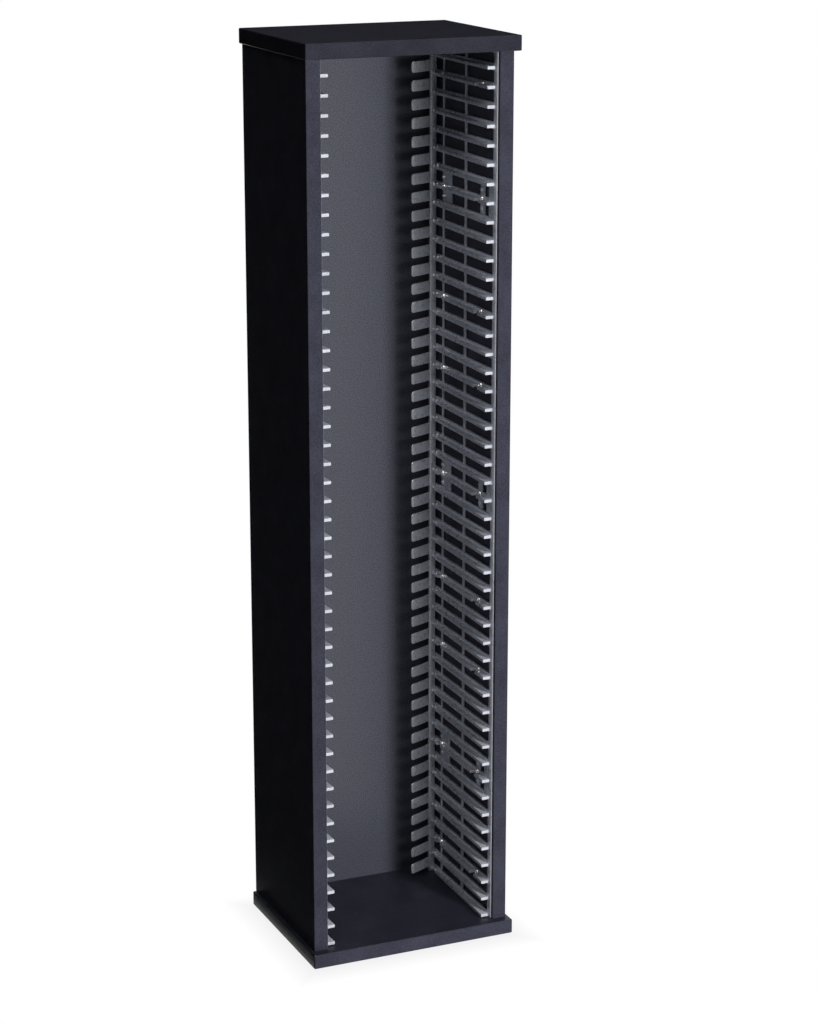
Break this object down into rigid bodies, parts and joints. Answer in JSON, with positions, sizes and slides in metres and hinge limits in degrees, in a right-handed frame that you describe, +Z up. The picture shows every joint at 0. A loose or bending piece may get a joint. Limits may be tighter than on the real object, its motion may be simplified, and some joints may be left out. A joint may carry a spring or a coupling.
{
  "type": "disc case storage tower",
  "caption": "Tall narrow open-fronted black tower with two columns of silver-grey slotted racks that hold disc cases on ledges.",
  "frame": {"origin": "on the ground, under the centre of the base and top boards", "axes": "+Z up, +X to the right as seen from the open front, -Y towards the open front"},
  "size_m": [0.238, 0.19, 0.9954],
  "materials": {
    "black_melamine": "black melamine-faced board, satin",
    "dark_hardboard": "dark lacquered hardboard, satin",
    "silver_plastic": "silver-grey moulded plastic, satin",
    "zinc_steel": "zinc plated",
    "beech": "plain turned beech",
    "glide_plastic": "dark hard plastic"
  },
  "bodies": {
    "root": {"top_panel": "black_melamine", "base_panel": "black_melamine", "left_side_panel": "black_melamine", "right_side_panel": "black_melamine", "back_panel": "dark_hardboard", "left_rack_lower": "silver_plastic", "left_rack_middle": "silver_plastic", "left_rack_upper": "silver_plastic", "right_rack_lower": "silver_plastic", "right_rack_middle": "silver_plastic", "right_rack_upper": "silver_plastic", "left_rack_lower_screw_1": "zinc_steel", "left_rack_lower_screw_2": "zinc_steel", "left_rack_lower_screw_3": "zinc_steel", "left_rack_lower_screw_4": "zinc_steel", "left_rack_lower_screw_5": "zinc_steel", "left_rack_lower_screw_6": "zinc_steel", "left_rack_middle_screw_1": "zinc_steel", "left_rack_middle_screw_2": "zinc_steel", "left_rack_middle_screw_3": "zinc_steel", "left_rack_middle_screw_4": "zinc_steel", "left_rack_middle_screw_5": "zinc_steel", "left_rack_middle_screw_6": "zinc_steel", "left_rack_upper_screw_1": "zinc_steel", "left_rack_upper_screw_2": "zinc_steel", "left_rack_upper_screw_3": "zinc_steel", "left_rack_upper_screw_4": "zinc_steel", "left_rack_upper_screw_5": "zinc_steel", "left_rack_upper_screw_6": "zinc_steel", "right_rack_lower_screw_1": "zinc_steel", "right_rack_lower_screw_2": "zinc_steel", "right_rack_lower_screw_3": "zinc_steel", "right_rack_lower_screw_4": "zinc_steel", "right_rack_lower_screw_5": "zinc_steel", "right_rack_lower_screw_6": "zinc_steel", "right_rack_middle_screw_1": "zinc_steel", "right_rack_middle_screw_2": "zinc_steel", "right_rack_middle_screw_3": "zinc_steel", "right_rack_middle_screw_4": "zinc_steel", "right_rack_middle_screw_5": "zinc_steel", "right_rack_middle_screw_6": "zinc_steel", "right_rack_upper_screw_1": "zinc_steel", "right_rack_upper_screw_2": "zinc_steel", "right_rack_upper_screw_3": "zinc_steel", "right_rack_upper_screw_4": "zinc_steel", "right_rack_upper_screw_5": "zinc_steel", "right_rack_upper_screw_6": "zinc_steel", "base_screw_front_left": "zinc_steel", "base_screw_back_left": "zinc_steel", "base_screw_front_right": "zinc_steel", "base_screw_back_right": "zinc_steel", "top_dowel_front_left": "beech", "top_dowel_back_left": "beech", "top_dowel_front_right": "beech", "top_dowel_back_right": "beech", "glide_front_left": "glide_plastic", "glide_back_left": "glide_plastic", "glide_front_right": "glide_plastic", "glide_back_right": "glide_plastic"}
  },
  "joints": []
}
